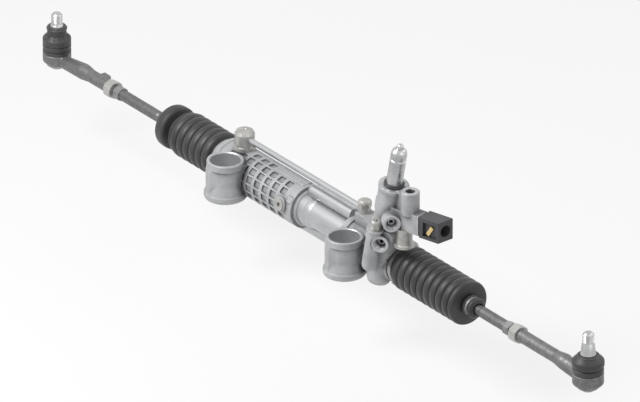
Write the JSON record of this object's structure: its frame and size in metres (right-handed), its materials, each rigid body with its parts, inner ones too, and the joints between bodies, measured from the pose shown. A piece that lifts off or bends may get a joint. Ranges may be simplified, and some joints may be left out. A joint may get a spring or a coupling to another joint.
{
  "type": "steering rack",
  "caption": "Hydraulic power steering rack with cast housings, mounting eyes, leaning input shaft, rubber bellows and tie rods with outer ball joints.",
  "frame": {"origin": "bore axis of the mounting eye on the pinion side, at the height of the rack axis", "axes": "+X along the rack towards the pinion side's outer ball joint, +Z along the eye bores towards the input shaft, +Y from the eyes towards the rack axis"},
  "size_m": [1.1981, 0.1035, 0.2207],
  "materials": {
    "cast_aluminium": "as cast",
    "steel_tube": "satin",
    "bright_steel": "ground",
    "zinc_steel": "zinc plated",
    "forged_steel": "forged",
    "dark_steel": "phosphated",
    "clamp_steel": "bright",
    "black_rubber": "moulded",
    "bearing_plastic": "moulded",
    "connector_plastic": "moulded",
    "contact_brass": "tinned"
  },
  "bodies": {
    "housing": {"left_housing": "cast_aluminium", "gear_housing": "cast_aluminium", "valve_housing": "cast_aluminium", "cylinder_tube": "steel_tube", "cylinder_gland": "steel_tube", "upper_feed_tube": "steel_tube", "lower_feed_tube": "steel_tube", "transfer_pipe": "steel_tube", "transfer_union": "zinc_steel", "banjo_bolt": "zinc_steel", "port_plug": "zinc_steel", "pressure_screw": "zinc_steel", "left_bush": "bearing_plastic", "right_bush": "bearing_plastic", "left_rack_seal": "black_rubber", "inner_rack_seal": "black_rubber", "yoke": "bearing_plastic", "yoke_spring": "dark_steel", "yoke_plug": "zinc_steel", "pinion_bearing": "bright_steel", "middle_bearing": "bright_steel", "upper_bearing": "bright_steel", "shaft_seal": "black_rubber", "bearing_cap": "zinc_steel", "valve_bolts": "dark_steel", "solenoid_body": "zinc_steel", "connector_shell": "connector_plastic", "connector_pins": "contact_brass", "left_bellows": "black_rubber", "right_bellows": "black_rubber", "left_bellows_clamps": "clamp_steel", "right_bellows_clamps": "clamp_steel"},
    "rack": {"rack_bar": "bright_steel", "piston": "bright_steel", "piston_ring": "bearing_plastic", "left_inner_socket": "forged_steel", "right_inner_socket": "forged_steel", "left_inner_seat": "bearing_plastic", "right_inner_seat": "bearing_plastic"},
    "pinion_shaft": {"pinion": "bright_steel", "valve_sleeve": "bright_steel", "input_shaft": "bright_steel", "torsion_bar": "bright_steel"},
    "left_tie_rod": {"left_tie_rod": "forged_steel", "left_lock_nut": "zinc_steel", "left_rod_end": "forged_steel", "left_outer_seat": "bearing_plastic", "left_end_cap": "zinc_steel", "left_joint_boot": "black_rubber"},
    "left_boot_ring": {"left_boot_ring": "clamp_steel"},
    "left_ball_stud": {"left_ball_stud": "bright_steel"},
    "right_tie_rod": {"right_tie_rod": "forged_steel", "right_lock_nut": "zinc_steel", "right_rod_end": "forged_steel", "right_outer_seat": "bearing_plastic", "right_end_cap": "zinc_steel", "right_joint_boot": "black_rubber", "right_cuff_clamp": "clamp_steel"},
    "right_boot_ring": {"right_boot_ring": "clamp_steel"},
    "right_ball_stud": {"right_ball_stud": "bright_steel"}
  },
  "joints": [
    {"name": "rack_slide", "type": "slide", "parent": "housing", "child": "rack", "axis": [1, 0, 0], "range_m": [-0.069, 0.069], "deforming": ["left_bellows", "right_bellows"]},
    {"name": "pinion_turn", "type": "hinge", "parent": "housing", "child": "pinion_shaft", "pos_m": [0.05, 0.0222, 0], "axis": [0.2147, 0, 0.9767], "range_deg": [-482.66, 482.66]},
    {"name": "left_rod_swing", "type": "hinge", "parent": "rack", "child": "left_tie_rod", "pos_m": [-0.418, 0.04, 0], "axis": [0, 1, 0], "range_deg": [-20, 20]},
    {"name": "left_stud_tilt", "type": "hinge", "parent": "left_tie_rod", "child": "left_boot_ring", "pos_m": [-0.6905, 0.04, 0], "axis": [0, 1, 0], "range_deg": [-20, 20], "deforming": ["left_joint_boot"]},
    {"name": "left_stud_turn", "type": "hinge", "parent": "left_boot_ring", "child": "left_ball_stud", "pos_m": [-0.6905, 0.04, 0], "axis": [0, 0, 1], "range_deg": [-40, 40]},
    {"name": "right_rod_swing", "type": "hinge", "parent": "rack", "child": "right_tie_rod", "pos_m": [0.194, 0.04, 0], "axis": [0, 1, 0], "range_deg": [-20, 20]},
    {"name": "right_stud_tilt", "type": "hinge", "parent": "right_tie_rod", "child": "right_boot_ring", "pos_m": [0.4665, 0.04, 0], "axis": [0, 1, 0], "range_deg": [-20, 20], "deforming": ["right_joint_boot"]},
    {"name": "right_stud_turn", "type": "hinge", "parent": "right_boot_ring", "child": "right_ball_stud", "pos_m": [0.4665, 0.04, 0], "axis": [0, 0, 1], "range_deg": [-40, 40]}
  ],
  "couplings": [
    {"joint": "pinion_turn", "follows": "rack_slide", "rad_per_m": -122.08}
  ]
}
